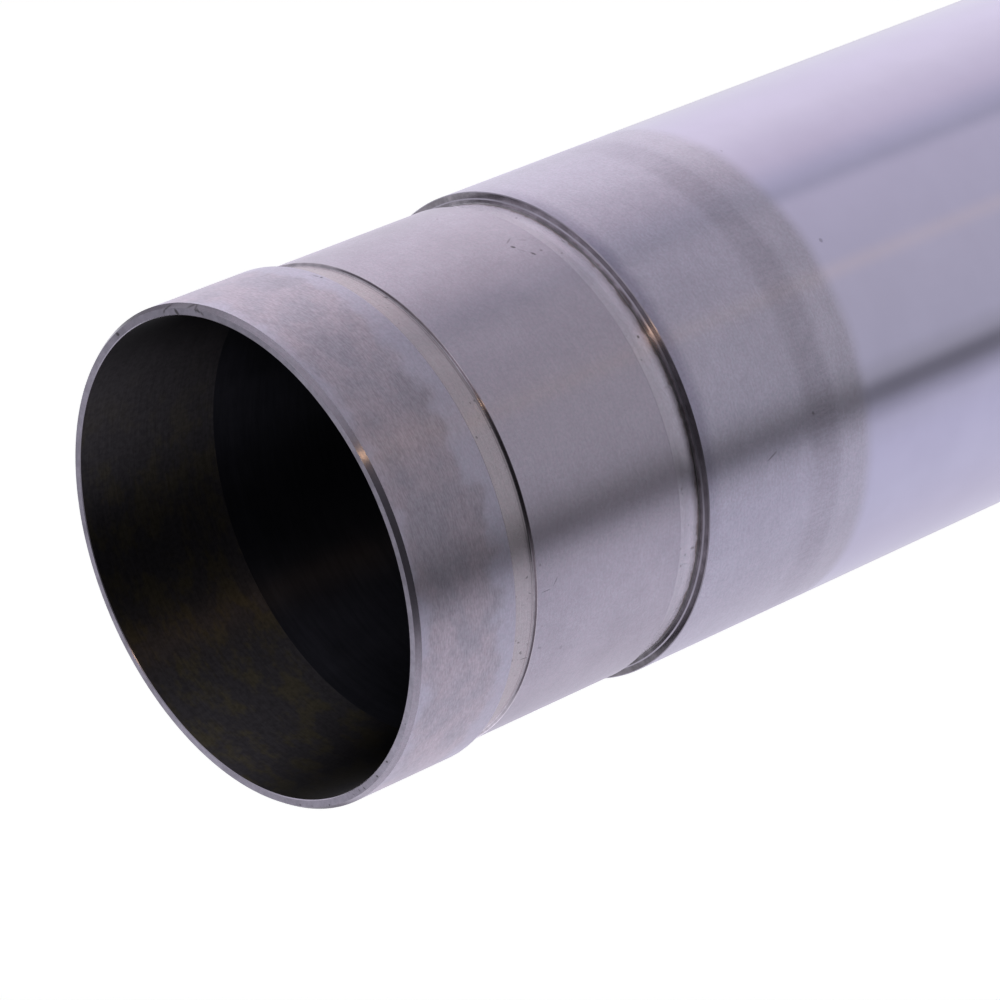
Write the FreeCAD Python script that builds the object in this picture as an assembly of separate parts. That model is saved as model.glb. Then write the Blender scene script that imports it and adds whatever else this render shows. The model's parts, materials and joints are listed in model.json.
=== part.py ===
import FreeCAD, Part
import math
import os

# Inner tube of a conventional motorcycle fork: one drawn steel tube, turned,
# ground and plated. It stands on its square cap end, and +Z runs along it to
# the lower end with the bush recess. All lengths are in millimetres.

# Drawn tube
tube_dia = 41.0
tube_wall = 2.0
tube_length = 590.0

# Lower end: the collar that holds the slide bush on
collar_length = 10.0
rim_chamfer_radial = 0.29
rim_chamfer_axial = 0.43

# Lower end inside: a lead from the bore, then a slightly tapered mouth
mouth_depth = 13.3
mouth_step = 0.67
mouth_flare = 0.44
bore_lead_angle = 15.0

# Recess for the split slide bush
bush_width = 20.0
bush_end_clearance = 0.3
bush_seat_depth = 0.5
edge_break = 0.12

# Grinding relief beside the collar
near_relief_width = 2.48
near_relief_depth = 0.25
near_relief_ramp = 0.12

# Grinding relief beside the shoulder
far_relief_width = 2.5
far_relief_depth = 0.46

# Shoulder face: two faces that lean a little, with a bevel between them
shoulder_foot_radius = 0.12
shoulder_face_lean = 0.02
shoulder_upper_rise = 0.34
shoulder_bevel = 0.1
shoulder_break = 0.07

# Cap end: outer chamfer, seal counterbore, thread bore and tool relief
cap_chamfer_radial = 0.5
cap_chamfer_axial = 0.9
seal_bore_step = 0.6
seal_bore_depth = 6.0
seal_bore_break = 0.3
thread_length = 14.0
thread_relief_step = 0.7
thread_relief_width = 1.6

# Radii and heights that follow from the sizes above
tube_r = tube_dia / 2
bore_r = tube_r - tube_wall
bush_seat_r = tube_r - bush_seat_depth
collar_z = tube_length - collar_length
shoulder_z = collar_z - bush_width - bush_end_clearance


def point(radius, height):
    """A point of the half section."""
    return FreeCAD.Vector(radius, 0, height)


def cap_end_inside():
    """Seal counterbore, thread at its minor diameter and tool relief."""
    seal_r = bore_r + seal_bore_step
    relief_r = bore_r + thread_relief_step
    thread_start = seal_bore_depth + seal_bore_step
    relief_start = thread_start + thread_length
    floor_start = relief_start + thread_relief_step
    floor_end = floor_start + thread_relief_width
    return [
        point(seal_r + seal_bore_break, 0),
        point(seal_r, seal_bore_break),
        point(seal_r, seal_bore_depth),
        point(bore_r, thread_start),
        point(bore_r, relief_start),
        point(relief_r, floor_start),
        point(relief_r, floor_end),
        point(bore_r, floor_end + thread_relief_step),
    ]


def mouth_inside():
    """Lead out of the bore and the tapered mouth, up to the end face."""
    taper_r = bore_r + mouth_step
    taper_z = tube_length - mouth_depth
    lead = mouth_step / math.tan(math.radians(bore_lead_angle))
    return [
        point(bore_r, taper_z - lead),
        point(taper_r, taper_z),
        point(taper_r + mouth_flare, tube_length),
    ]


def collar_outside():
    """Rim chamfer and collar, down to its lower edge."""
    return [
        point(tube_r - rim_chamfer_radial, tube_length),
        point(tube_r, tube_length - rim_chamfer_axial),
        point(tube_r, collar_z + edge_break),
        point(tube_r - edge_break, collar_z),
    ]


def bush_recess():
    """Near relief, bush seat and the upper edge of the far relief."""
    near_floor_r = bush_seat_r - near_relief_depth
    far_floor_r = bush_seat_r - far_relief_depth
    ramp_z = collar_z - near_relief_width
    seat_end_z = shoulder_z + far_relief_width
    return [
        point(near_floor_r, collar_z),
        point(near_floor_r, ramp_z),
        point(bush_seat_r, ramp_z - near_relief_ramp),
        point(bush_seat_r, seat_end_z + edge_break),
        point(bush_seat_r - edge_break, seat_end_z),
        point(far_floor_r, seat_end_z),
    ]


def shoulder_foot():
    """Rounded corner between the far relief's floor and the shoulder."""
    floor_r = bush_seat_r - far_relief_depth
    foot_z = shoulder_z + 2 * shoulder_face_lean + shoulder_bevel
    bend = shoulder_foot_radius * (1 - math.sqrt(0.5))
    start = point(floor_r, foot_z + shoulder_foot_radius)
    middle = point(floor_r + bend, foot_z + bend)
    end = point(floor_r + shoulder_foot_radius, foot_z)
    return start, middle, end


def shoulder_face():
    """Upper face, bevel and lower face, out to the tube's full diameter."""
    upper_r = bush_seat_r - far_relief_depth + shoulder_upper_rise
    lower_z = shoulder_z + shoulder_face_lean
    return [
        point(upper_r, lower_z + shoulder_bevel),
        point(upper_r + shoulder_bevel, lower_z),
        point(tube_r - shoulder_break, shoulder_z),
        point(tube_r, shoulder_z - shoulder_break),
    ]


def cap_end_outside():
    """Lead chamfer that starts the tube into its clamps."""
    return [
        point(tube_r, cap_chamfer_axial),
        point(tube_r - cap_chamfer_radial, 0),
    ]


def straight_edges(points):
    return [Part.LineSegment(a, b).toShape() for a, b in zip(points, points[1:])]


def half_section():
    """The closed outline of the wall: up the inside, down the outside."""
    foot_start, foot_middle, foot_end = shoulder_foot()
    inside = cap_end_inside() + mouth_inside()
    above_foot = inside + collar_outside() + bush_recess() + [foot_start]
    below_foot = [foot_end] + shoulder_face() + cap_end_outside() + [inside[0]]
    edges = straight_edges(above_foot)
    edges.append(Part.Arc(foot_start, foot_middle, foot_end).toShape())
    edges += straight_edges(below_foot)
    return Part.Face(Part.Wire(edges))


def fork_tube():
    """The whole tube, turned from its half section."""
    axis_point = FreeCAD.Vector(0, 0, 0)
    axis = FreeCAD.Vector(0, 0, 1)
    return half_section().revolve(axis_point, axis, 360)


def main():
    os.makedirs("parts", exist_ok=True)
    tube = fork_tube()
    tube.exportStep("parts/fork_tube.step")
    box = tube.BoundBox
    print("valid", tube.isValid(), "solids", len(tube.Solids))
    print("volume mm3", round(tube.Volume, 1), "faces", len(tube.Faces))
    print("box", round(box.XLength, 3), round(box.YLength, 3), round(box.ZLength, 3))


main()
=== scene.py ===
import json
import math

import bpy
from mathutils import Matrix, Vector


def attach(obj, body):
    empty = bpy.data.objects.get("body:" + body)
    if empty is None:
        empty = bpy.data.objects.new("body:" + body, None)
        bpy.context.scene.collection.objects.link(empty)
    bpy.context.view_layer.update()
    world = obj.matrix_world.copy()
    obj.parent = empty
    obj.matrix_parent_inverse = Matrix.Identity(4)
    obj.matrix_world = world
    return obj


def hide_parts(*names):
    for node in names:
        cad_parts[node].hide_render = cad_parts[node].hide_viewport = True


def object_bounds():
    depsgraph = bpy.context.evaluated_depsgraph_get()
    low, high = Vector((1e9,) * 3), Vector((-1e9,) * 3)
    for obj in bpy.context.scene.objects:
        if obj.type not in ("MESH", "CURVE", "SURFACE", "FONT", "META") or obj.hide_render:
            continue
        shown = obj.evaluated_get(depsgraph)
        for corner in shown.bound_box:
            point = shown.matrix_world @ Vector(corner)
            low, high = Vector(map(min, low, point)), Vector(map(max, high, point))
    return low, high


# The fork tube stands on its cap end, with its lower end up. Metres throughout.

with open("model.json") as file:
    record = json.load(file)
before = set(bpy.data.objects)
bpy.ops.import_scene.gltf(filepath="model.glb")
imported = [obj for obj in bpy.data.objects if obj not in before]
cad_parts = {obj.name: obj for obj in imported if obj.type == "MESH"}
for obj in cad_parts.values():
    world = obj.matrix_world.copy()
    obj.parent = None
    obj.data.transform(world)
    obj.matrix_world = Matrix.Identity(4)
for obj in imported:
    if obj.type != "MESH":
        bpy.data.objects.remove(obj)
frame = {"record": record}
cad_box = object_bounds()

MM = 0.001

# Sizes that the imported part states
MOUNTS = {m["name"]: m for m in frame["record"]["mounts"]}


def mount_radius(name):
    return MOUNTS[name]["dims"]["r_mm"] * MM


def mount_span(name):
    """Lowest and highest height of a round mount's wall."""
    half = MOUNTS[name]["dims"]["length_mm"] * MM / 2
    middle = MOUNTS[name]["pos_m"][2]
    return middle - half, middle + half


TUBE_R = mount_radius("shank")
BORE_R = mount_radius("main_bore")
SEAT_R = mount_radius("bush_seat")
SEAL_R = mount_radius("cap_seal_bore")
TOP = cad_box[1].z
SHANK_LOW, SHANK_HIGH = mount_span("shank")
SEAT_LOW, SEAT_HIGH = mount_span("bush_seat")
BORE_LOW, BORE_HIGH = mount_span("main_bore")
THREAD_LOW, THREAD_HIGH = mount_span("cap_thread")
SEAL_LOW, SEAL_HIGH = mount_span("cap_seal_bore")

# Lower end, as in the turned part
COLLAR = 10.0 * MM
EDGE_BREAK = 0.12 * MM
RIM_CHAMFER_RADIAL = 0.29 * MM
RIM_CHAMFER_AXIAL = 0.43 * MM
MOUTH_STEP = 0.67 * MM
MOUTH_FLARE = 0.44 * MM
MOUTH_DEPTH = 13.3 * MM
NEAR_RELIEF_DEPTH = 0.25 * MM
NEAR_RELIEF_WIDTH = 2.48 * MM
FAR_RELIEF_DEPTH = 0.46 * MM
FOOT_RADIUS = 0.12 * MM
FACE_LEAN = 0.02 * MM
UPPER_RISE = 0.34 * MM
SHOULDER_BEVEL = 0.1 * MM
SHOULDER_BREAK = 0.07 * MM
SHOULDER = SHANK_HIGH + SHOULDER_BREAK
FOOT_Z = SHOULDER + 2 * FACE_LEAN + SHOULDER_BEVEL
MOUTH_BREAK = 0.06 * MM

# The step from the near relief up to the bush seat: hollow, steep face, small round
STEP_HOLLOW = 0.12 * MM
STEP_BREAK = 0.05 * MM
STEP_SLOPE = 75
# Short strips beside a bend, so that its soft shading stays in it
BESIDE_BEND = 0.05 * MM

# Cap end, as in the turned part
CAP_CHAMFER = 0.5 * MM
SEAL_BREAK = 0.3 * MM
THREAD_RELIEF_STEP = 0.7 * MM
THREAD_PITCH = 1.0 * MM
THREAD_DEPTH = 0.5 * MM
THREAD_RINGS_PER_TURN = 6

# Fineness of the turned mesh
TURN_STEPS = 400
SHARP_CORNER = math.radians(25)

# How the photographed view sees the tube, in tube radii and camera axes
# (right, up, back): the middle of the end face, and the way the tube runs from it
END_SEEN_AT = Vector((-0.97267, -0.22422, -19.79218))
TUBE_RUNS = Vector((0.73750, 0.31613, -0.59679))
LENS_MM = 190.54
SENSOR_MM = 36.0


class Surface:
    """One material's node tree, built by short calls."""

    def __init__(self, name):
        self.material = bpy.data.materials.new(name)
        self.material.use_nodes = True
        self.tree = self.material.node_tree
        self.shader = self.tree.nodes["Principled BSDF"]
        self.shader.inputs["Metallic"].default_value = 1.0
        coordinates = self.tree.nodes.new("ShaderNodeTexCoord")
        self.place = coordinates.outputs["Object"]
        split = self.tree.nodes.new("ShaderNodeSeparateXYZ")
        self.join(self.place, split.inputs[0])
        self.x, self.y, self.height = split.outputs

    def join(self, source, socket):
        if isinstance(source, bpy.types.NodeSocket):
            self.tree.links.new(source, socket)
        else:
            socket.default_value = source

    def math(self, operation, a, b=0.0, clamp=False):
        node = self.tree.nodes.new("ShaderNodeMath")
        node.operation = operation
        node.use_clamp = clamp
        self.join(a, node.inputs[0])
        self.join(b, node.inputs[1])
        return node.outputs[0]

    def product(self, a, b):
        return self.math("MULTIPLY", a, b)

    def noise(self, across, along, detail=3.0, roughness=0.6, distortion=0.0):
        """Noise with so many features a metre across (round) and along the tube."""
        scaled = self.tree.nodes.new("ShaderNodeVectorMath")
        scaled.operation = "MULTIPLY"
        self.join(self.place, scaled.inputs[0])
        scaled.inputs[1].default_value = (across, across, along)
        node = self.tree.nodes.new("ShaderNodeTexNoise")
        node.inputs["Scale"].default_value = 1.0
        node.inputs["Detail"].default_value = detail
        node.inputs["Roughness"].default_value = roughness
        node.inputs["Distortion"].default_value = distortion
        self.join(scaled.outputs[0], node.inputs["Vector"])
        return node.outputs["Fac"]

    def span(self, value, low, high, to_low=0.0, to_high=1.0, smooth=True):
        """value carried from low..high to to_low..to_high, and held outside."""
        node = self.tree.nodes.new("ShaderNodeMapRange")
        node.interpolation_type = "SMOOTHSTEP" if smooth else "LINEAR"
        self.join(value, node.inputs["Value"])
        node.inputs["From Min"].default_value = low
        node.inputs["From Max"].default_value = high
        self.join(to_low, node.inputs["To Min"])
        self.join(to_high, node.inputs["To Max"])
        return node.outputs["Result"]

    def mix(self, share, first, second):
        """A colour between first and second."""
        node = self.tree.nodes.new("ShaderNodeMix")
        node.data_type = "RGBA"
        self.join(share, node.inputs["Factor"])
        self.join(first if isinstance(first, bpy.types.NodeSocket) else (*first, 1.0), node.inputs[6])
        self.join(second if isinstance(second, bpy.types.NodeSocket) else (*second, 1.0), node.inputs[7])
        return node.outputs[2]

    def shade(self, colour, factor):
        """colour times a number."""
        node = self.tree.nodes.new("ShaderNodeVectorMath")
        node.operation = "SCALE"
        self.join(colour if isinstance(colour, bpy.types.NodeSocket) else tuple(colour), node.inputs[0])
        self.join(factor, node.inputs["Scale"])
        return node.outputs[0]

    def mottle(self, colour, strength=1.0):
        """colour with the fine grain and faint pink and green clouds of ground steel."""
        grain = self.span(self.noise(4200, 5200, 1.0), 0.3, 0.7, 1 - 0.05 * strength, 1 + 0.05 * strength)
        cloud = self.span(self.noise(700, 900, 1.0), 0.3, 0.7, 1 - 0.018 * strength, 1 + 0.018 * strength)
        shift = self.tree.nodes.new("ShaderNodeVectorMath")
        shift.operation = "MULTIPLY"
        self.join(colour if isinstance(colour, bpy.types.NodeSocket) else tuple(colour), shift.inputs[0])
        hue = self.noise(3000, 3000, 1.0)
        tint = self.mix(self.span(hue, 0.3, 0.7), (1.012, 0.994, 1.0), (0.988, 1.006, 1.0))
        self.join(tint, shift.inputs[1])
        return self.shade(shift.outputs[0], self.product(grain, cloud))

    def facing(self, angle, low, high):
        """From 0 to 1 as a place turns from low to high cosine off the line at this angle."""
        turn = UPPERMOST - math.radians(angle)
        round_x = self.product(self.x, math.cos(turn) / TUBE_R)
        round_y = self.product(self.y, math.sin(turn) / TUBE_R)
        return self.span(self.math("ADD", round_x, round_y), low, high)

    def painted_upper_side_light(self):
        """Painted light: a little lighter along the tube's upper side in the photographed view."""
        return self.span(self.facing(-25, 0.8, 1.0), 0.0, 1.0, 1.0, 1.12)

    def marks(self, marks, radius=None, on_face=False):
        """How far each of the marks covers this place, from 0 to 1.

        A mark is (angle, distance, length, width, lean, strength): the angle from the
        line that is uppermost in the photographed view, and the distance from the end
        face, or on the end face from the axis. Lean 0 runs round the tube.
        """
        covered = 0.0
        for angle, distance, length, width, lean, strength in marks:
            turn = UPPERMOST - math.radians(angle)
            outward = Vector((math.cos(turn), math.sin(turn), 0))
            onward = Vector((math.sin(turn), -math.cos(turn), 0))
            if on_face:
                centre = outward * distance * MM + Vector((0, 0, TOP))
                down, normal = outward, Vector((0, 0, 1))
            else:
                centre = outward * radius + Vector((0, 0, TOP - distance * MM))
                down, normal = Vector((0, 0, -1)), outward
            slant = math.radians(lean)
            along = onward * math.cos(slant) + down * math.sin(slant)
            across = normal.cross(along)
            local = self.tree.nodes.new("ShaderNodeMapping")
            local.vector_type = "TEXTURE"
            self.join(self.place, local.inputs["Vector"])
            local.inputs["Location"].default_value = centre
            local.inputs["Rotation"].default_value = Matrix((along, across, normal)).transposed().to_euler()
            local.inputs["Scale"].default_value = (length * MM / 2, width * MM / 2, 5 * MM)
            reach = self.tree.nodes.new("ShaderNodeVectorMath")
            reach.operation = "LENGTH"
            self.join(local.outputs[0], reach.inputs[0])
            covered = self.math("MAXIMUM", self.span(reach.outputs["Value"], 0.4, 1.0, strength, 0.0), covered)
        return covered

    def brushed(self, amount, turned=0.25):
        """Highlights spread across brush lines that run round the tube."""
        tangent = self.tree.nodes.new("ShaderNodeTangent")
        tangent.direction_type = "RADIAL"
        tangent.axis = "Z"
        self.join(tangent.outputs[0], self.shader.inputs["Tangent"])
        self.shader.inputs["Anisotropic"].default_value = amount
        self.shader.inputs["Anisotropic Rotation"].default_value = turned

    def bump(self, height, distance, strength=1.0):
        node = self.tree.nodes.new("ShaderNodeBump")
        node.inputs["Strength"].default_value = strength
        node.inputs["Distance"].default_value = distance
        self.join(height, node.inputs["Height"])
        self.join(node.outputs[0], self.shader.inputs["Normal"])

    def finish(self, colour, roughness):
        self.join(colour if isinstance(colour, bpy.types.NodeSocket) else (*colour, 1.0),
                  self.shader.inputs["Base Color"])
        self.join(roughness, self.shader.inputs["Roughness"])
        return self.material


# Colours of the bare metals, as reflectances; their lavender tint is partly painted light, the studio light's
# lavender put into the metal.
GROUND_STEEL = (0.51, 0.48, 0.56)
PALE_STEEL = (0.515, 0.485, 0.56)
RING_STEEL = (0.45, 0.42, 0.49)
SHADED_STEEL = (0.30, 0.28, 0.36)
SEAT_STEEL = (0.47, 0.43, 0.49)
COLLAR_STEEL = (0.43, 0.395, 0.45)
COLLAR_PINK = (0.435, 0.383, 0.43)
COLLAR_BLUE = (0.45, 0.43, 0.51)
NEAR_RELIEF_STEEL = (0.50, 0.45, 0.47)
FAR_RELIEF_STEEL = (0.58, 0.54, 0.60)
RIM_STEEL = (0.285, 0.268, 0.31)
EDGE_STEEL = (0.27, 0.25, 0.29)
CHAMFER_STEEL = (0.18, 0.165, 0.19)
WALL_STEEL = (0.16, 0.15, 0.16)
STEP_STEEL = (0.52, 0.48, 0.52)
CHROME = (0.68, 0.65, 0.80)
BORE_STEEL = (0.03, 0.03, 0.037)
MOUTH_STEEL = (0.068, 0.063, 0.067)
DIRT = (0.05, 0.045, 0.05)
RUST = (0.20, 0.13, 0.08)
OLD_OIL = (0.11, 0.095, 0.05)

# Where the tube's uppermost line in the photographed view is, round its axis
UPPERMOST = math.radians(-35.7)

# Scuffs, pits and scratches: angle, distance, length, width, lean, strength (see Surface.marks)
RIM_MARKS = [
    (-23.2, 20.26, 1.0, 0.24, 24, 0.9),
    (-24.5, 20.02, 0.6, 0.24, 40, 0.8),
    (-20.0, 19.88, 0.9, 0.42, -50, 1.0),
    (-14.9, 20.38, 1.1, 0.24, 18, 0.9),
    (-13.2, 20.28, 0.9, 0.26, -60, 0.9),
    (-12.2, 20.14, 0.8, 0.28, -23, 0.9),
    (-10.8, 19.98, 0.6, 0.24, -40, 0.7),
    (-37.7, 20.32, 0.6, 0.24, 30, 0.8),
    (-45.0, 20.0, 0.6, 0.4, -30, 1.0),
    (122.1, 19.91, 0.4, 0.24, -40, 0.9),
    (128.1, 20.01, 0.4, 0.24, -40, 0.9),
    (134.7, 20.01, 0.5, 0.14, -60, 0.8),
    (136.8, 19.91, 0.4, 0.14, -60, 0.7),
    (139.5, 19.98, 0.4, 0.12, -40, 0.6),
    (108.5, 20.05, 0.25, 0.2, 0, 0.5),
    (149.9, 20.13, 0.3, 0.22, 0, 0.7),
    (156.5, 20.11, 0.25, 0.16, 0, 0.5),
    (160.8, 20.09, 0.3, 0.22, 0, 0.6),
]
COLLAR_MARKS = [
    (-4.6, 9.55, 0.8, 0.14, 10, 0.9),
    (-3.2, 9.65, 0.3, 0.3, 0, 1.0),
]
RELIEF_MARKS = [
    (105.7, 12.1, 1.1, 0.14, 84, 0.8),
    (108.0, 12.6, 0.9, 0.16, 10, 0.5),
    (88.1, 12.0, 0.4, 0.12, 60, 0.6),
    (90.3, 11.3, 0.5, 0.10, 80, 0.4),
    (99.1, 10.8, 0.2, 0.16, 0, 0.6),
    (104.8, 10.8, 0.25, 0.2, 0, 0.7),
    (117.4, 12.5, 0.5, 0.16, 45, 0.7),
    (9.5, 12.3, 0.6, 0.25, 30, 0.8),
    (-6.6, 28.1, 0.26, 0.2, 0, 0.8),
    (43.3, 29.2, 0.34, 0.28, 0, 1.0),
    (99.6, 28.45, 0.26, 0.2, 0, 0.9),
    (94.6, 28.2, 0.2, 0.2, 0, 0.6),
    (99.5, 28.9, 1.0, 0.07, 70, 0.4),
    (95.8, 29.5, 0.5, 0.35, 80, 0.5),
]
SEAT_MARKS = [
    (10.1, 25.2, 0.55, 0.3, 40, 1.0),
    (14.3, 26.0, 0.65, 0.24, 20, 0.9),
    (14.2, 26.85, 0.3, 0.24, 60, 0.6),
    (7.6, 25.5, 1.2, 0.2, -60, 0.4),
    (9.0, 26.5, 1.0, 0.2, 50, 0.25),
    (12.2, 25.5, 1.1, 0.16, 30, 0.25),
    (-13.5, 24.64, 0.25, 0.2, 0, 0.8),
    (88.8, 13.5, 1.2, 0.1, 90, 0.6),
    (87.5, 14.45, 1.1, 0.1, -38, 0.6),
    (82.1, 13.0, 0.3, 0.2, 0, 0.4),
    (103.6, 13.3, 0.6, 0.3, 60, 0.3),
    (106.6, 15.8, 0.5, 0.4, 0, 0.25),
    (97.5, 13.2, 0.25, 0.15, 0, 0.4),
]
SHANK_MARKS = [
    (79.9, 37.4, 1.5, 0.15, -66, 1.0),
    (74.4, 42.3, 0.5, 0.3, 40, 0.8),
    (39.4, 49.6, 0.55, 0.45, 0, 0.6),
    (7.0, 48.8, 0.3, 0.2, 0, 0.5),
]


def rim_face_material():
    """Faced rim: fine rings, scuffs and small pits, with painted light and shade round it."""
    s = Surface("faced_rim")
    rings = s.noise(1600, 1600, 3.0)
    stain = s.noise(500, 500, 2.0)
    tone = s.product(s.span(rings, 0.3, 0.7, 0.92, 1.08), s.span(stain, 0.35, 0.7, 1.05, 0.92))
    worn = s.marks(RIM_MARKS, on_face=True)
    # Painted shade near angle -20, painted light near angles 105 and -140.
    tone = s.product(tone, s.span(s.facing(-20, 0.6, 1.0), 0.0, 1.0, 1.0, 0.70))
    tone = s.product(tone, s.span(s.facing(105, 0.8, 1.0), 0.0, 1.0, 1.0, 1.25))
    tone = s.product(tone, s.span(s.facing(-140, 0.6, 1.0), 0.0, 1.0, 1.0, 1.3))
    metal = s.mix(worn, s.mottle(s.shade(RIM_STEEL, tone)), DIRT)
    s.brushed(0.8)
    return s.finish(metal, s.span(stain, 0.3, 0.7, 0.34, 0.42))


def chamfer_material():
    """Turned rim chamfer, with the rim's scuffs running over it, and painted light and shade round it."""
    s = Surface("turned_chamfer")
    lines = s.noise(400, 9000, 2.0)
    worn = s.marks(RIM_MARKS, on_face=True)
    # Painted shade near angles -36 and 62, painted light near angles 28 and 116, over the turned lines.
    tone = s.product(s.span(lines, 0.3, 0.7, 0.93, 1.07), s.span(s.facing(-36, 0.7, 0.95), 0.0, 1.0, 1.0, 0.6))
    tone = s.product(tone, s.span(s.facing(28, 0.9, 1.0), 0.0, 1.0, 1.0, 1.3))
    tone = s.product(tone, s.span(s.facing(62, 0.85, 1.0), 0.0, 1.0, 1.0, 0.8))
    tone = s.product(tone, s.span(s.facing(116, 0.75, 0.95), 0.0, 1.0, 1.0, 1.4))
    # Painted shade in the reflection: a weaker specular tint near angles -33 and 162.
    painted_shade_back = s.span(s.facing(-33, 0.95, 0.99), 0.0, 1.0, 0.9, 0.5)
    painted_shade_side = s.span(s.facing(162, 0.88, 0.98), 0.0, 1.0, 1.0, 0.45)
    s.join(s.product(painted_shade_back, painted_shade_side), s.shader.inputs["Specular Tint"])
    metal = s.mottle(s.shade(CHAMFER_STEEL, tone))
    s.brushed(0.6)
    return s.finish(s.mix(worn, metal, DIRT), s.span(lines, 0.3, 0.7, 0.16, 0.22))


def edge_material():
    """Bright small edges: the mouth's edge, the seat's ends and the shoulder's ledge, with painted shade round
    them.
    """
    s = Surface("bright_edges")
    lines = s.noise(400, 9000, 2.0)
    # Painted shade near angle 66, and on the shoulder's edges near angle -18.
    tone = s.product(s.span(lines, 0.3, 0.7, 0.9, 1.1), s.span(s.facing(66, 0.88, 1.0), 0.0, 1.0, 1.0, 0.6))
    bevel = s.span(s.height, SHOULDER + 0.3 * MM, SHOULDER + 0.2 * MM)
    tone = s.product(tone, s.span(s.product(bevel, s.facing(-18, 0.88, 0.98)), 0.0, 1.0, 1.0, 0.62))
    s.brushed(0.8)
    return s.finish(s.shade(EDGE_STEEL, tone), 0.22)


def wall_material():
    """Dark turned walls of the reliefs and the shoulder, with bright tool lines; half as light from the foot's
    round upward, with painted light and a painted highlight.
    """
    s = Surface("dark_walls")
    lines = s.noise(900, 2500, 2.0)
    # Painted light: lighter on the side away from angle 75, over the tool lines.
    tone = s.product(s.span(lines, 0.35, 0.75, 0.85, 1.3), s.span(s.facing(75, -0.2, 0.9), 0.0, 1.0, 1.7, 1.05))
    tone = s.product(tone, s.span(s.height, FOOT_Z, FOOT_Z + 0.04 * MM, 1.0, 0.5))
    # Painted highlight near angle 45 on the walls above the shoulder's bevel.
    upper = s.span(s.height, SHOULDER + 0.06 * MM, SHOULDER + 0.1 * MM)
    tone = s.product(tone, s.span(s.product(upper, s.facing(45, 0.75, 0.95)), 0.0, 1.0, 1.0, 1.8))
    s.brushed(0.5)
    return s.finish(s.mottle(s.shade(WALL_STEEL, tone)), 0.2)


def step_material():
    """Step from the near relief up to the bush seat: thin and grey, with painted shade that makes it black
    towards the camera.
    """
    s = Surface("relief_step")
    lines = s.noise(900, 2500, 2.0)
    # Painted shade near angles 60, -15 and 105, a painted highlight on the seat's side and painted shade in the
    # hollow.
    tone = s.product(s.span(lines, 0.35, 0.75, 0.9, 1.2), s.span(s.facing(60, 0.86, 0.98), 0.0, 1.0, 1.0, 0.22))
    tone = s.product(tone, s.span(s.facing(-15, 0.5, 0.9), 0.0, 1.0, 1.0, 0.45))
    tone = s.product(tone, s.span(s.facing(105, 0.85, 0.98), 0.0, 1.0, 1.0, 0.6))
    tone = s.product(tone, s.span(s.height, SEAT_HIGH + 0.06 * MM, SEAT_HIGH + 0.12 * MM, 1.5, 0.85))
    s.brushed(0.4)
    return s.finish(s.shade(STEP_STEEL, tone), 0.14)


def collar_material():
    """Coarse ground collar: short flecks round the tube over soft pink and blue blotches."""
    s = Surface("coarse_ground_collar")
    flecks = s.noise(1700, 11000, 2.0, 0.55)
    blotch = s.noise(260, 330, 4.0, 0.65)
    depth = s.math("SUBTRACT", TOP, s.height)
    wander = s.span(s.noise(260, 260, 2.0), 0.3, 0.7, -0.8 * MM, 0.8 * MM)
    place = s.math("ADD", depth, wander)
    rubbed = s.span(place, 7.4 * MM, 9.0 * MM)
    rim = s.span(place, 1.8 * MM, 0.0)
    calm = s.math("MAXIMUM", rubbed, rim)
    coarse = s.product(s.span(flecks, 0.3, 0.7, 0.88, 1.11), s.span(blotch, 0.3, 0.7, 0.90, 1.08))
    tone = s.span(calm, 0.0, 1.0, coarse, s.span(flecks, 0.3, 0.7, 1.0, 1.10))
    tint = s.mix(s.span(blotch, 0.38, 0.62), COLLAR_STEEL, COLLAR_PINK)
    tint = s.mix(s.product(calm, 0.7), tint, COLLAR_BLUE)
    # Painted light along the tube's upper side.
    tone = s.product(tone, s.painted_upper_side_light())
    worn = s.marks(COLLAR_MARKS, TUBE_R)
    metal = s.mix(s.product(worn, 0.7), s.mottle(s.shade(tint, tone)), DIRT)
    s.brushed(1.0)
    s.bump(flecks, 0.012 * MM, 0.15)
    return s.finish(metal, s.span(calm, 0.0, 1.0, 0.33, 0.28))


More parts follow.
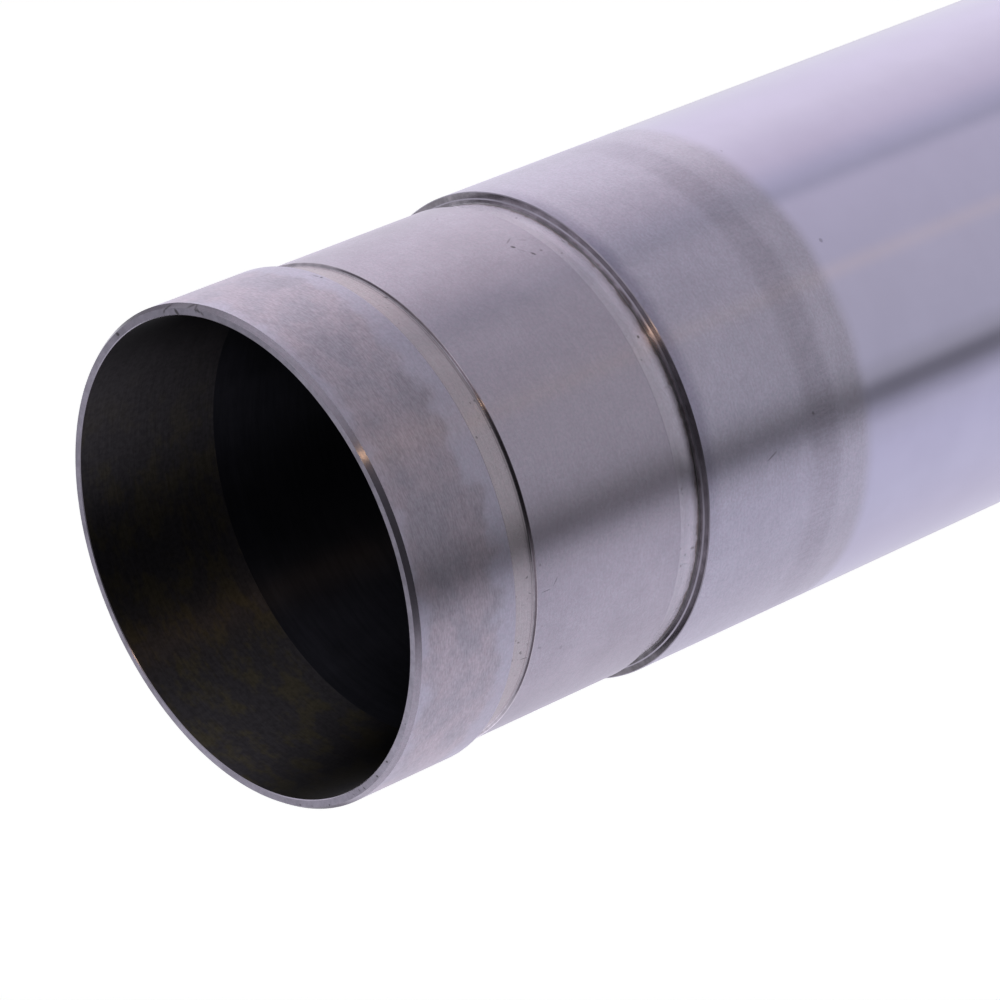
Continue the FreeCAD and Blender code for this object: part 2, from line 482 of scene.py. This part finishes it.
def relief_material():
    """Turned relief floors: the one by the collar is warmer, the other dirty at its foot."""
    s = Surface("turned_reliefs")
    lines = s.noise(200, 9000, 2.0)
    ticks = s.noise(3800, 900, 2.0, 0.6)
    pits = s.noise(2200, 2200, 1.0)
    far = s.span(s.height, SEAT_LOW, SEAT_HIGH, 1.0, 0.0)
    tone = s.product(s.span(lines, 0.3, 0.7, 0.97, 1.03), s.span(ticks, 0.66, 0.76, 1.0, 0.88))
    tone = s.product(tone, s.span(pits, 0.72, 0.78, 1.0, 0.6))
    # Painted light along the tube's upper side.
    tone = s.product(tone, s.painted_upper_side_light())
    tone = s.product(tone, s.span(s.height, SHOULDER + 0.6 * MM, SHOULDER + 1.8 * MM, 1.5, 1.0))
    from_wall = s.math("SUBTRACT", s.height, SEAT_HIGH)
    tool_line = s.span(s.math("ABSOLUTE", s.math("SUBTRACT", from_wall, 0.36 * MM)), 0.0, 0.07 * MM, 0.45, 0.0)
    foot_top = FOOT_Z + FOOT_RADIUS
    wander = s.span(s.noise(900, 900), 0.35, 0.7, -0.04 * MM, 0.16 * MM)
    foot = s.math("SUBTRACT", s.math("SUBTRACT", s.height, foot_top), wander)
    grime = s.span(foot, 0.0, 0.18 * MM, 0.6, 0.0)
    worn = s.math("MAXIMUM", s.marks(RELIEF_MARKS, SEAT_R - NEAR_RELIEF_DEPTH), tool_line)
    metal = s.mottle(s.shade(s.mix(far, NEAR_RELIEF_STEEL, FAR_RELIEF_STEEL), tone), 0.8)
    metal = s.mix(s.product(worn, 0.7), metal, DIRT)
    metal = s.mix(grime, metal, RUST)
    s.brushed(1.0)
    return s.finish(metal, 0.24)


def seat_material():
    """Ground bush seat: fine lines round the tube, a few scratches."""
    s = Surface("ground_bush_seat")
    lines = s.noise(700, 11000, 3.0, 0.6)
    cloud = s.noise(150, 150, 3.0, 0.6)
    tone = s.product(s.span(lines, 0.25, 0.75, 0.97, 1.03), s.span(cloud, 0.3, 0.7, 0.96, 1.04))
    # Painted light along the tube's upper side.
    tone = s.product(tone, s.painted_upper_side_light())
    worn = s.marks(SEAT_MARKS, SEAT_R)
    metal = s.mix(s.product(worn, 0.85), s.mottle(s.shade(SEAT_STEEL, tone), 0.8), DIRT)
    s.brushed(1.0)
    s.bump(lines, 0.006 * MM, 0.1)
    return s.finish(metal, s.span(cloud, 0.3, 0.7, 0.22, 0.25))


def shank_material():
    """Ground steel below the shoulder, a dull masked ring, a pale edge, then hard chrome, with painted light and
    shade round the ground steel.
    """
    s = Surface("ground_and_plated_shank")
    waver = s.span(s.noise(120, 120, 2.0), 0.3, 0.7, -0.12 * MM, 0.12 * MM)
    depth = s.math("ADD", s.math("SUBTRACT", TOP, s.height), waver)
    lines = s.noise(700, 11000, 3.0, 0.6)
    cloud = s.noise(150, 150, 3.0, 0.6)
    streaks = s.noise(4500, 700, 2.0, 0.6)
    chrome = s.span(depth, 47.2 * MM, 49.0 * MM)
    pale = s.span(depth, 44.0 * MM, 45.8 * MM)
    ring = s.product(s.span(depth, 40.8 * MM, 42.4 * MM), s.math("SUBTRACT", 1.0, pale))
    towards_camera = s.facing(54, 0.1, 0.7)
    # Painted light: the ring fades to half on the side away from the camera.
    ring = s.product(ring, s.span(towards_camera, 0.0, 1.0, 0.5, 1.0))
    metal = s.mix(ring, GROUND_STEEL, RING_STEEL)
    metal = s.mix(pale, metal, PALE_STEEL)
    tone = s.product(s.span(lines, 0.25, 0.75, 0.96, 1.04), s.span(cloud, 0.3, 0.7, 0.97, 1.03))
    # Painted light: lighter on the side away from the camera, and along the upper side.
    tone = s.product(tone, s.span(towards_camera, 0.0, 1.0, 1.09, 1.0))
    tone = s.product(tone, s.painted_upper_side_light())
    tone = s.product(tone, s.math("ADD", 1.0, s.product(ring, s.span(streaks, 0.3, 0.7, 0.035, -0.045))))
    # Painted shade: darker next to the shoulder, most near angle 38.
    painted_shade_by_shoulder = s.span(depth, 30.5 * MM, 32.2 * MM, 0.75, 0.0)
    painted_shade_by_shoulder = s.product(painted_shade_by_shoulder, s.facing(38, 0.45, 0.95))
    metal = s.mix(painted_shade_by_shoulder, metal, SHADED_STEEL)
    metal = s.mottle(s.shade(metal, tone))
    metal = s.mix(chrome, metal, s.shade(CHROME, s.span(cloud, 0.3, 0.7, 0.985, 1.015)))
    worn = s.marks(SHANK_MARKS, TUBE_R)
    metal = s.mix(s.product(worn, 0.55), metal, DIRT)
    s.brushed(1.0)
    rough = s.span(chrome, 0.0, 1.0, s.span(ring, 0.0, 1.0, 0.21, 0.24), s.span(cloud, 0.3, 0.7, 0.09, 0.11))
    return s.finish(metal, rough)


def mouth_material():
    """Turned mouth, inside: dark, with fine tool lines, old oil and small specks, and painted shade away from
    angle -120.
    """
    s = Surface("turned_mouth")
    lines = s.noise(300, 7000, 3.0, 0.65)
    stain = s.noise(300, 450, 4.0, 0.65)
    dots = s.noise(2600, 2600, 2.0, 0.6)
    tone = s.product(s.span(lines, 0.25, 0.75, 0.88, 1.12), s.span(dots, 0.35, 0.7, 1.1, 0.85))
    # Painted shade: darker away from angle -120, down to 0.15.
    tone = s.product(tone, s.span(s.facing(-120, 0.1, 0.8), 0.0, 1.0, 0.15, 1.0))
    oiled = s.product(s.span(stain, 0.45, 0.62), s.facing(-150, 0.0, 0.9))
    metal = s.mix(s.product(oiled, 0.6), MOUTH_STEEL, OLD_OIL)
    s.brushed(1.0)
    return s.finish(s.shade(metal, tone), s.span(stain, 0.3, 0.7, 0.46, 0.54))


def bore_material():
    """Drawn bore: near black, with faint turned lines."""
    s = Surface("drawn_bore")
    lines = s.noise(250, 2500, 4.0, 0.65)
    stain = s.noise(250, 120, 3.0, 0.6)
    tone = s.product(s.span(lines, 0.25, 0.75, 0.85, 1.15), s.span(stain, 0.3, 0.75, 1.1, 0.85))
    s.brushed(1.0)
    return s.finish(s.shade(BORE_STEEL, tone), 0.45)


def cap_end_material():
    """Machined steel of the cap end: counterbore, thread and tool relief."""
    s = Surface("machined_cap_end")
    lines = s.noise(200, 8000, 3.0)
    s.brushed(0.4)
    return s.finish(s.mottle(s.shade(GROUND_STEEL, s.span(lines, 0.3, 0.7, 0.9, 1.08))), 0.28)


MATERIALS = {
    "rim": rim_face_material,
    "chamfer": chamfer_material,
    "edge": edge_material,
    "wall": wall_material,
    "step": step_material,
    "collar": collar_material,
    "relief": relief_material,
    "seat": seat_material,
    "shank": shank_material,
    "mouth": mouth_material,
    "bore": bore_material,
    "cap": cap_end_material,
}


def steps(start, end, count):
    """count points from start to end, without start."""
    return [tuple(a + (b - a) * i / count for a, b in zip(start, end)) for i in range(1, count + 1)]


def arc(line, radius, start, end, material, count=5):
    """Adds a bend to the outline, which runs down at 0 degrees and outward at 90."""
    first_radius, first_height = line[-1][:2]
    hollow = 1 if end > start else -1
    a = math.radians(start)
    for i in range(1, count + 1):
        b = a + math.radians(end - start) * i / count
        outward = hollow * radius * (math.cos(a) - math.cos(b))
        down = hollow * radius * (math.sin(b) - math.sin(a))
        line.append((first_radius + outward, first_height - down, material))


def outside_outline():
    """(radius, height, material of the strip that ends here), from the mouth's edge down."""
    near_floor = SEAT_R - NEAR_RELIEF_DEPTH
    far_floor = SEAT_R - FAR_RELIEF_DEPTH
    collar_low = TOP - COLLAR
    mouth_r = BORE_R + MOUTH_STEP + MOUTH_FLARE
    line = [(mouth_r, TOP - MOUTH_BREAK, "mouth")]

    def go(radius, height, material, count=1):
        line.extend((*p, material) for p in steps(line[-1][:2], (radius, height), count))

    go(mouth_r + MOUTH_BREAK, TOP, "edge")
    go(TUBE_R - RIM_CHAMFER_RADIAL, TOP, "rim", 4)
    go(TUBE_R, TOP - RIM_CHAMFER_AXIAL, "chamfer", 3)
    go(TUBE_R, collar_low + EDGE_BREAK, "collar", 8)
    go(TUBE_R - EDGE_BREAK, collar_low, "edge")
    go(near_floor, collar_low, "step")
    slope = math.radians(STEP_SLOPE)
    bends = STEP_HOLLOW + STEP_BREAK
    steep_rise = NEAR_RELIEF_DEPTH - bends * (1 - math.cos(slope))
    steep_run = steep_rise / math.tan(slope)
    step_z = SEAT_HIGH + bends * math.sin(slope) + steep_run
    go(near_floor, step_z + BESIDE_BEND, "relief", 2)
    go(near_floor, step_z, "relief")
    arc(line, STEP_HOLLOW, 0, STEP_SLOPE, "step")
    go(line[-1][0] + steep_rise, line[-1][1] - steep_run, "step")
    arc(line, STEP_BREAK, STEP_SLOPE, 0, "step")
    go(SEAT_R, SEAT_HIGH - BESIDE_BEND, "seat")
    go(SEAT_R, SEAT_LOW, "seat", 6)
    go(SEAT_R - EDGE_BREAK, SEAT_LOW - EDGE_BREAK, "edge")
    go(far_floor, SEAT_LOW - EDGE_BREAK, "wall")
    go(far_floor, FOOT_Z + FOOT_RADIUS + BESIDE_BEND, "relief", 2)
    go(far_floor, FOOT_Z + FOOT_RADIUS, "relief")
    arc(line, FOOT_RADIUS, 0, 90, "wall")
    upper_r = far_floor + UPPER_RISE
    lower_z = SHOULDER + FACE_LEAN
    go(upper_r, lower_z + SHOULDER_BEVEL, "wall")
    go(upper_r + SHOULDER_BEVEL, lower_z, "edge")
    go(TUBE_R - SHOULDER_BREAK, SHOULDER, "wall")
    go(TUBE_R, SHANK_HIGH, "edge")
    go(TUBE_R, SHANK_LOW, "shank", 12)
    go(TUBE_R - CAP_CHAMFER, 0.0, "shank")
    return line


def inside_outline():
    """The same for the inside, from the cap end's face up to the mouth."""
    relief_r = BORE_R + THREAD_RELIEF_STEP
    relief_low = THREAD_HIGH + THREAD_RELIEF_STEP
    relief_high = BORE_LOW - THREAD_RELIEF_STEP
    line = [(SEAL_R + SEAL_BREAK, 0.0, "cap")]

    def go(radius, height, material, count=1):
        line.extend((*p, material) for p in steps(line[-1][:2], (radius, height), count))

    go(SEAL_R, SEAL_LOW, "cap")
    go(SEAL_R, SEAL_HIGH, "cap")
    go(BORE_R, THREAD_LOW, "cap")
    turns = (THREAD_HIGH - THREAD_LOW) / THREAD_PITCH
    go(BORE_R, THREAD_HIGH, "cap", round(turns * THREAD_RINGS_PER_TURN))
    go(relief_r, relief_low, "cap")
    go(relief_r, relief_high, "cap")
    go(BORE_R, BORE_LOW, "cap")
    go(BORE_R, BORE_HIGH, "bore", 12)
    go(BORE_R + MOUTH_STEP, TOP - MOUTH_DEPTH, "bore", 2)
    go(BORE_R + MOUTH_STEP + MOUTH_FLARE, TOP - MOUTH_BREAK, "mouth", 8)
    return line


def thread_cut(height, angle):
    """How deep the cap thread's helix cuts into the wall here."""
    if not THREAD_LOW < height < THREAD_HIGH:
        return 0.0
    phase = (height / THREAD_PITCH + angle / (2 * math.pi)) % 1.0
    flank = 1 - abs(2 * phase - 1)
    fade = min(1.0, (height - THREAD_LOW) / THREAD_PITCH, (THREAD_HIGH - height) / THREAD_PITCH)
    return THREAD_DEPTH * min(1.0, max(0.0, 1.15 * flank - 0.08)) * fade


def corner_angles(outline):
    """The turn of the outline at each of its points, as a closed line."""
    turns = []
    for i, here in enumerate(outline):
        before = outline[i - 1]
        after = outline[(i + 1) % len(outline)]
        into = math.atan2(here[1] - before[1], here[0] - before[0])
        out = math.atan2(after[1] - here[1], after[0] - here[0])
        turns.append(abs((out - into + math.pi) % (2 * math.pi) - math.pi))
    return turns


def turned_tube():
    """The whole tube as one closed mesh, turned from its outline."""
    outline = outside_outline() + inside_outline()[:-1]
    outline[0] = (*outline[0][:2], "mouth")
    names = list(MATERIALS)
    rings = len(outline)
    vertices = []
    for radius, height, _ in outline:
        for k in range(TURN_STEPS):
            angle = 2 * math.pi * k / TURN_STEPS
            here = radius
            if radius < BORE_R + 0.01 * MM:
                here = radius + thread_cut(height, angle)
            vertices.append((here * math.cos(angle), here * math.sin(angle), height))
    faces = []
    slots = []
    for i in range(rings):
        j = (i + 1) % rings
        for k in range(TURN_STEPS):
            n = (k + 1) % TURN_STEPS
            faces.append((i * TURN_STEPS + k, j * TURN_STEPS + k, j * TURN_STEPS + n, i * TURN_STEPS + n))
            slots.append(names.index(outline[j][2]))
    mesh = bpy.data.meshes.new("fork_tube_turned")
    mesh.from_pydata(vertices, [], faces)
    for make in MATERIALS.values():
        mesh.materials.append(make())
    mesh.polygons.foreach_set("material_index", slots)
    mesh.shade_smooth()
    sharp = [turn > SHARP_CORNER for turn in corner_angles(outline)]
    for edge in mesh.edges:
        a, b = edge.vertices
        if a // TURN_STEPS == b // TURN_STEPS:
            edge.use_edge_sharp = sharp[a // TURN_STEPS]
    mesh.validate()
    mesh.update()
    tube = bpy.data.objects.new("fork_tube_turned", mesh)
    bpy.context.scene.collection.objects.link(tube)
    return tube


# Studio: brightness of the surroundings by direction. Angles run from the camera's
# side, positive towards -X, and 180 is behind the tube. The room is bright beyond
# the tube and dark behind the camera.
ROOM_TINT = (1.015, 1.0, 1.095)
NEAR_TABLE = [
    (-180, 1.40), (-150, 1.45), (-125, 1.25), (-108, 0.95), (-68, 0.80), (-24, 0.76), (27, 0.90), (36, 0.60),
    (43, 0.06), (51, 0.45), (60, 1.00), (72, 1.20), (100, 1.15), (130, 1.00),
]
FAR_TABLE = [
    (-180, (0.76, 0.74, 0.81)),
    (-155, (0.84, 0.82, 0.90)),
    (-125, (0.90, 0.85, 0.94)),
    (-108, (0.87, 0.82, 0.89)),
    (-80, (0.68, 0.63, 0.71)),
    (-68, (0.51, 0.50, 0.59)),
    (-60, (0.41, 0.41, 0.48)),
    (-53, (0.55, 0.53, 0.60)),
    (-22, (0.51, 0.50, 0.56)),
    (-16, (0.57, 0.53, 0.54)),
    (-10, (0.50, 0.49, 0.54)),
    (27, (0.46, 0.46, 0.51)),
    (36, (0.39, 0.39, 0.42)),
    (42, (0.20, 0.20, 0.22)),
    (46, (0.19, 0.19, 0.21)),
    (51, (0.32, 0.32, 0.37)),
    (60, (0.53, 0.53, 0.61)),
    (72, (0.58, 0.58, 0.68)),
    (98, (0.65, 0.65, 0.74)),
    (130, (0.69, 0.67, 0.75)),
    (163, (0.72, 0.70, 0.80)),
]
TABLE_EDGE = [
    (-180, 1.25), (-150, 1.35), (-125, 1.35), (-92, 1.30), (-80, 0.90), (-70, 0.50), (-48, 0.38), (-30, 0.26),
    (-8, 0.46), (8, 0.44), (24, 0.32), (36, 0.12), (42, 0.00), (46, 0.00), (52, 0.30), (60, 0.62), (72, 0.85),
    (98, 1.25), (125, 1.45), (150, 1.38),
]
WINDOWS = [
    (-180, 1.40), (-140, 1.50), (-115, 1.50), (-90, 1.40), (-75, 1.10), (-60, 0.85), (-45, 0.50), (-30, 0.20),
    (-14, 0.10), (0, 0.06), (34, 0.03), (44, 0.06), (52, 0.40), (62, 0.90), (78, 1.20), (100, 1.30),
    (130, 1.20), (155, 1.30),
]
WALLS = [
    (-180, 0.70), (-145, 0.75), (-90, 0.90), (-57, 1.00), (-35, 0.75), (-12, 0.35), (11, 0.20), (34, 0.17),
    (46, 0.25), (56, 0.40), (70, 0.70), (90, 0.80), (130, 0.80), (150, 0.62),
]
# Heights, as the sine of the elevation, between which each band gives way to the next
NEAR_TO_FAR = (-0.90, -0.64)
FAR_TO_EDGE = (-0.56, -0.30)
EDGE_TO_WINDOWS = (-0.20, 0.10)
WINDOWS_TO_WALLS = (0.25, 0.50)
WALLS_TO_CEILING = (0.70, 0.92)
CEILING_SHARE = 0.35


def ramp(tree, fraction, stops):
    """A colour ramp over the turn from -180 to 180 degrees, closed on itself."""
    node = tree.nodes.new("ShaderNodeValToRGB")
    tree.links.new(fraction, node.inputs[0])
    elements = node.color_ramp.elements
    while len(elements) > 1:
        elements.remove(elements[-1])
    closed = stops + [(180, stops[0][1])]
    for i, (angle, light) in enumerate(closed):
        place = angle / 360 + 0.5
        element = elements[0] if i == 0 else elements.new(place)
        element.position = place
        colour = light if isinstance(light, tuple) else [light * part for part in ROOM_TINT]
        element.color = (*colour, 1.0)
    return node.outputs[0]


def studio_world():
    """Soft surroundings, white where the camera looks straight at them."""
    world = bpy.data.worlds.new("studio")
    bpy.context.scene.world = world
    world.use_nodes = True
    tree = world.node_tree
    tree.nodes.clear()
    new, link = tree.nodes.new, tree.links.new

    def math_node(operation, a, b=None):
        node = new("ShaderNodeMath")
        node.operation = operation
        link(a, node.inputs[0])
        if b is not None:
            link(b, node.inputs[1])
        return node

    def ranged(value, low, high, to_low, to_high):
        node = new("ShaderNodeMapRange")
        node.interpolation_type = "SMOOTHSTEP"
        link(value, node.inputs["Value"])
        node.inputs["From Min"].default_value = low
        node.inputs["From Max"].default_value = high
        node.inputs["To Min"].default_value = to_low
        node.inputs["To Max"].default_value = to_high
        return node.outputs["Result"]

    split = new("ShaderNodeSeparateXYZ")
    link(new("ShaderNodeTexCoord").outputs["Generated"], split.inputs[0])
    x, y, z = split.outputs
    minus_x = math_node("MULTIPLY", x)
    minus_x.inputs[1].default_value = -1.0
    minus_y = math_node("MULTIPLY", y)
    minus_y.inputs[1].default_value = -1.0
    angle = math_node("ARCTAN2", minus_x.outputs[0], minus_y.outputs[0])
    turn = math_node("MULTIPLY", angle.outputs[0])
    turn.inputs[1].default_value = 1 / (2 * math.pi)
    fraction = math_node("ADD", turn.outputs[0])
    fraction.inputs[1].default_value = 0.5

    def blended(share, first, second):
        node = new("ShaderNodeMix")
        node.data_type = "RGBA"
        link(share, node.inputs["Factor"])
        link(first, node.inputs[6])
        link(second, node.inputs[7])
        return node.outputs[2]

    near, far, edge, windows, walls = (
        ramp(tree, fraction.outputs[0], band) for band in (NEAR_TABLE, FAR_TABLE, TABLE_EDGE, WINDOWS, WALLS)
    )
    around_it = blended(ranged(z, *NEAR_TO_FAR, 0.0, 1.0), near, far)
    around_it = blended(ranged(z, *FAR_TO_EDGE, 0.0, 1.0), around_it, edge)
    around_it = blended(ranged(z, *EDGE_TO_WINDOWS, 0.0, 1.0), around_it, windows)
    around_it = blended(ranged(z, *WINDOWS_TO_WALLS, 0.0, 1.0), around_it, walls)
    light = new("ShaderNodeBackground")
    link(around_it, light.inputs["Color"])
    link(ranged(z, *WALLS_TO_CEILING, 1.0, CEILING_SHARE), light.inputs["Strength"])
    white = new("ShaderNodeBackground")
    white.inputs["Color"].default_value = (1.0, 1.0, 1.0, 1.0)
    choose = new("ShaderNodeMixShader")
    link(new("ShaderNodeLightPath").outputs["Is Camera Ray"], choose.inputs[0])
    link(light.outputs[0], choose.inputs[1])
    link(white.outputs[0], choose.inputs[2])
    link(choose.outputs[0], new("ShaderNodeOutputWorld").inputs[0])


def studio_floor():
    """A pale floor that is white round the object but keeps its soft shadow."""
    size = 12.0
    mesh = bpy.data.meshes.new("studio_floor")
    half = size / 2
    mesh.from_pydata([(-half, -half, 0), (half, -half, 0), (half, half, 0), (-half, half, 0)], [], [(0, 1, 2, 3)])
    floor = bpy.data.objects.new("studio_floor", mesh)
    bpy.context.scene.collection.objects.link(floor)
    floor.visible_glossy = False
    material = bpy.data.materials.new("pale_floor")
    material.use_nodes = True
    tree = material.node_tree
    tree.nodes.clear()
    new, link = tree.nodes.new, tree.links.new
    diffuse = new("ShaderNodeBsdfDiffuse")
    diffuse.inputs["Color"].default_value = (0.78, 0.80, 0.75, 1.0)
    glow = new("ShaderNodeEmission")
    link(new("ShaderNodeLightPath").outputs["Is Camera Ray"], glow.inputs["Strength"])
    glow.inputs["Color"].default_value = (0.56, 0.558, 0.552, 1.0)
    both = new("ShaderNodeAddShader")
    link(diffuse.outputs[0], both.inputs[0])
    link(glow.outputs[0], both.inputs[1])
    link(both.outputs[0], new("ShaderNodeOutputMaterial").inputs[0])
    mesh.materials.append(material)


def soft_lamp(name, place, target, size, watts, colour):
    lamp = bpy.data.lights.new(name, "AREA")
    lamp.shape = "DISK"
    lamp.size = size
    lamp.energy = watts
    lamp.color = colour
    thing = bpy.data.objects.new(name, lamp)
    bpy.context.scene.collection.objects.link(thing)
    thing.location = place
    thing.rotation_mode = "QUATERNION"
    thing.rotation_quaternion = (Vector(target) - Vector(place)).to_track_quat("-Z", "Y")
    return thing


def around(turn, elevation, distance, height):
    """A point round the tube's axis: turn runs from the camera's side towards -X."""
    a, e = math.radians(turn), math.radians(elevation)
    flat = distance * math.cos(e)
    return Vector((-flat * math.sin(a), -flat * math.cos(a), height + distance * math.sin(e)))


def photo_camera():
    """The camera of the reference view, from how it sees the tube."""
    up = -TUBE_RUNS.normalized()
    ahead = Vector((0, 0, -1))
    ahead = (ahead - up * ahead.dot(up)).normalized()
    right = ahead.cross(up)
    to_world = Matrix((right, ahead, up))
    camera_data = bpy.data.cameras.new("photo_camera")
    camera_data.lens = LENS_MM
    camera_data.sensor_width = SENSOR_MM
    camera_data.clip_start = 0.01
    camera_data.clip_end = 50.0
    camera = bpy.data.objects.new("photo_camera", camera_data)
    bpy.context.scene.collection.objects.link(camera)
    place = Vector((0, 0, TOP)) - to_world @ (END_SEEN_AT * TUBE_R)
    camera.matrix_world = Matrix.Translation(place) @ to_world.to_4x4()
    bpy.context.scene.camera = camera


def main():
    bpy.context.scene.view_settings.view_transform = "Standard"
    tube = turned_tube()
    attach(tube, "root")
    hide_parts("fork_tube")
    studio_world()
    studio_floor()
    head = Vector((0, 0, TOP))
    warm = (1.0, 0.66, 0.36)
    soft_lamp("low_room_lamp", around(-20, 33, 1.6, TOP), head, 0.06, 0.35, warm)
    soft_lamp("high_room_lamp", around(-27, 53, 1.6, TOP), head, 0.06, 0.5, warm)
    photo_camera()


main()
